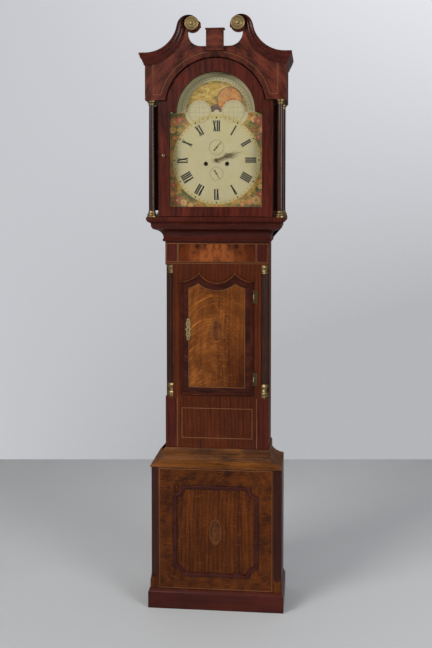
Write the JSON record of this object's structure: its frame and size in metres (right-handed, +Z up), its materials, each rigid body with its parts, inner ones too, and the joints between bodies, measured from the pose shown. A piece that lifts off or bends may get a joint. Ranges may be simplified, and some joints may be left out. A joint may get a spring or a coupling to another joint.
{
  "type": "longcase clock",
  "caption": "Tall longcase clock with a scrolled hood, glazed door, painted arched moon dial, weight-driven movement and seconds pendulum.",
  "frame": {"origin": "on the floor under the middle of the clock's bounding box", "axes": "+Z up, the dial faces -Y, +X to the viewer's right"},
  "size_m": [0.564, 0.279, 2.23],
  "materials": {
    "mahogany": "polished",
    "oak": "polished",
    "oak_plain": "unpolished",
    "ebonised": "polished",
    "brass": "lacquered",
    "dial_paint": "satin enamel",
    "moon_paint": "satin enamel",
    "steel": "polished",
    "blued_steel": "blackened",
    "glass": "clear",
    "iron": "painted",
    "gut": "plain"
  },
  "bodies": {
    "case": {"plinth": "mahogany", "base_carcass": "oak", "base_panel_moulding": "mahogany", "shoulder_moulding": "mahogany", "trunk_carcass": "oak", "backboard": "oak_plain", "quarter_columns": "ebonised", "quarter_column_brasses": "brass", "throat_moulding": "mahogany", "seatboard": "oak_plain", "trunk_hinge_butts": "brass", "dial": "dial_paint", "front_plate": "brass", "back_plate": "brass", "bell": "brass", "line_ends": "gut"},
    "trunk_door": {"trunk_door": "oak", "trunk_door_brasses": "brass", "trunk_lock": "steel"},
    "bolt": {"lock_bolt": "steel"},
    "hood": {"hood_carcass": "mahogany", "hood_front": "mahogany", "hood_cornice": "mahogany", "hood_columns": "ebonised", "hood_brasses": "brass", "hood_side_glass": "glass"},
    "hood_door": {"glass_door": "mahogany", "door_glass": "glass", "glass_door_brasses": "brass"},
    "pendulum": {"pendulum_rod": "brass"},
    "bob": {"pendulum_bob": "brass"},
    "nut": {"rating_nut": "brass"},
    "pallets": {"pallets": "steel"},
    "escape": {"escape_wheel": "brass", "seconds_hand": "blued_steel"},
    "third": {"third_wheel": "brass"},
    "centre": {"centre_wheel": "brass"},
    "great": {"going_great_wheel": "brass"},
    "going_barrel": {"going_barrel": "brass"},
    "minute": {"minute_hand": "blued_steel"},
    "minute_wheel": {"minute_wheel": "brass"},
    "hour": {"hour_wheel": "brass", "hour_hand": "blued_steel"},
    "fly": {"fly": "brass"},
    "warning": {"warning_wheel": "brass"},
    "gathering": {"gathering_wheel": "brass"},
    "pin_wheel": {"pin_wheel": "brass"},
    "strike_great": {"strike_great_wheel": "brass"},
    "strike_barrel": {"strike_barrel": "brass"},
    "hammer": {"hammer": "steel"},
    "rack": {"rack": "steel"},
    "rack_hook": {"rack_hook": "steel"},
    "moon": {"moon_disc": "moon_paint"},
    "date": {"date_hand": "blued_steel"},
    "going_weight": {"going_weight": "iron", "going_line": "gut"},
    "strike_weight": {"strike_weight": "iron", "strike_line": "gut"},
    "going_pulley": {"going_pulley": "brass"},
    "strike_pulley": {"strike_pulley": "brass"}
  },
  "joints": [
    {"name": "hood_slide", "type": "slide", "parent": "case", "child": "hood", "axis": [0, -1, 0], "range_m": [0, 0.3]},
    {"name": "hood_door_hinge", "type": "hinge", "parent": "hood", "child": "hood_door", "pos_m": [0.2065, -0.0995, 1.7], "axis": [0, 0, 1], "range_deg": [0, 100]},
    {"name": "trunk_door_hinge", "type": "hinge", "parent": "case", "child": "trunk_door", "pos_m": [0.1395, -0.052, 1.05], "axis": [0, 0, 1], "range_deg": [0, 110]},
    {"name": "lock_bolt_slide", "type": "slide", "parent": "trunk_door", "child": "bolt", "axis": [-1, 0, 0], "range_m": [0, 0.006]},
    {"name": "pendulum_swing", "type": "hinge", "parent": "case", "child": "pendulum", "pos_m": [0, 0.0503, 1.7765], "axis": [0, 1, 0], "range_deg": [-2.5, 2.5]},
    {"name": "pallets_rock", "type": "hinge", "parent": "case", "child": "pallets", "pos_m": [0, 0.0503, 1.7765], "axis": [0, 1, 0], "range_deg": [-2.5, 2.5]},
    {"name": "rating_nut_turn", "type": "hinge", "parent": "bob", "child": "nut", "pos_m": [0, 0.0503, 0.72], "axis": [0, 0, 1], "range_deg": [-1800, 1800]},
    {"name": "bob_slide", "type": "slide", "parent": "pendulum", "child": "bob", "axis": [0, 0, 1], "range_m": [-0.004, 0.004]},
    {"name": "escape_arbor", "type": "hinge", "parent": "case", "child": "escape", "pos_m": [0, -0.0297, 1.748], "axis": [0, 1, 0], "continuous": true},
    {"name": "third_arbor", "type": "hinge", "parent": "case", "child": "third", "pos_m": [0.0105, -0.0297, 1.72509], "axis": [0, 1, 0], "continuous": true},
    {"name": "centre_arbor", "type": "hinge", "parent": "case", "child": "centre", "pos_m": [0, -0.0297, 1.7], "axis": [0, 1, 0], "continuous": true},
    {"name": "great_wheel_turn", "type": "hinge", "parent": "case", "child": "great", "pos_m": [0.04, -0.0297, 1.6865], "axis": [0, 1, 0], "continuous": true},
    {"name": "going_barrel_turn", "type": "hinge", "parent": "case", "child": "going_barrel", "pos_m": [0.04, -0.0297, 1.6865], "axis": [0, 1, 0], "continuous": true},
    {"name": "hand_setting", "type": "hinge", "parent": "case", "child": "minute", "pos_m": [0, -0.0297, 1.7], "axis": [0, 1, 0], "continuous": true},
    {"name": "minute_wheel_turn", "type": "hinge", "parent": "case", "child": "minute_wheel", "pos_m": [0, -0.0297, 1.67], "axis": [0, 1, 0], "continuous": true},
    {"name": "hour_wheel_turn", "type": "hinge", "parent": "case", "child": "hour", "pos_m": [0, -0.0297, 1.7], "axis": [0, 1, 0], "continuous": true},
    {"name": "fly_arbor", "type": "hinge", "parent": "case", "child": "fly", "pos_m": [-0.02448, -0.0297, 1.77136], "axis": [0, 1, 0], "continuous": true},
    {"name": "warning_arbor", "type": "hinge", "parent": "case", "child": "warning", "pos_m": [-0.03793, -0.0297, 1.76008], "axis": [0, 1, 0], "continuous": true},
    {"name": "gathering_arbor", "type": "hinge", "parent": "case", "child": "gathering", "pos_m": [-0.03122, -0.0297, 1.74166], "axis": [0, 1, 0], "continuous": true},
    {"name": "pin_wheel_arbor", "type": "hinge", "parent": "case", "child": "pin_wheel", "pos_m": [-0.04304, -0.0297, 1.7212], "axis": [0, 1, 0], "continuous": true},
    {"name": "strike_great_turn", "type": "hinge", "parent": "case", "child": "strike_great", "pos_m": [-0.04, -0.0297, 1.6865], "axis": [0, 1, 0], "continuous": true},
    {"name": "strike_barrel_turn", "type": "hinge", "parent": "case", "child": "strike_barrel", "pos_m": [-0.04, -0.0297, 1.6865], "axis": [0, 1, 0], "continuous": true},
    {"name": "hammer_arbor", "type": "hinge", "parent": "case", "child": "hammer", "pos_m": [-0.062, -0.0297, 1.738], "axis": [0, 1, 0], "range_deg": [-8, 0]},
    {"name": "rack_pivot", "type": "hinge", "parent": "case", "child": "rack", "pos_m": [-0.058, -0.0297, 1.692], "axis": [0, 1, 0], "range_deg": [-7, 0]},
    {"name": "rack_hook_pivot", "type": "hinge", "parent": "case", "child": "rack_hook", "pos_m": [-0.004, -0.0297, 1.76], "axis": [0, 1, 0], "range_deg": [0, 6]},
    {"name": "moon_disc_turn", "type": "hinge", "parent": "case", "child": "moon", "pos_m": [0, -0.0297, 1.88], "axis": [0, 1, 0], "continuous": true},
    {"name": "date_turn", "type": "hinge", "parent": "case", "child": "date", "pos_m": [0, -0.0297, 1.65], "axis": [0, 1, 0], "continuous": true},
    {"name": "going_weight_fall", "type": "slide", "parent": "case", "child": "going_weight", "axis": [0, 0, 1], "range_m": [-1.05, 0], "deforming": ["going_line"]},
    {"name": "strike_weight_fall", "type": "slide", "parent": "case", "child": "strike_weight", "axis": [0, 0, 1], "range_m": [-1.05, 0], "deforming": ["strike_line"]},
    {"name": "going_pulley_turn", "type": "hinge", "parent": "going_weight", "child": "going_pulley", "pos_m": [0.04, 0.0003, 1.575], "axis": [0, 1, 0], "continuous": true},
    {"name": "strike_pulley_turn", "type": "hinge", "parent": "strike_weight", "child": "strike_pulley", "pos_m": [-0.04, 0.0003, 1.575], "axis": [0, 1, 0], "continuous": true}
  ],
  "couplings": [
    {"joint": "pallets_rock", "follows": "pendulum_swing", "ratio": 1},
    {"joint": "rating_nut_turn", "follows": "bob_slide", "rad_per_m": 7854},
    {"joint": "third_arbor", "follows": "escape_arbor", "ratio": -0.125},
    {"joint": "centre_arbor", "follows": "escape_arbor", "ratio": 0.016667},
    {"joint": "great_wheel_turn", "follows": "escape_arbor", "ratio": -0.0013889},
    {"joint": "minute_wheel_turn", "follows": "hand_setting", "ratio": -1},
    {"joint": "hour_wheel_turn", "follows": "hand_setting", "ratio": 0.083333},
    {"joint": "warning_arbor", "follows": "fly_arbor", "ratio": -0.125},
    {"joint": "gathering_arbor", "follows": "fly_arbor", "ratio": 0.017857},
    {"joint": "pin_wheel_arbor", "follows": "fly_arbor", "ratio": -0.0022321},
    {"joint": "strike_great_turn", "follows": "fly_arbor", "ratio": 0.00022894},
    {"joint": "going_barrel_turn", "follows": "going_weight_fall", "rad_per_m": 77.071},
    {"joint": "strike_barrel_turn", "follows": "strike_weight_fall", "rad_per_m": -77.071},
    {"joint": "going_pulley_turn", "follows": "going_weight_fall", "rad_per_m": 38.536},
    {"joint": "strike_pulley_turn", "follows": "strike_weight_fall", "rad_per_m": -38.536}
  ]
}
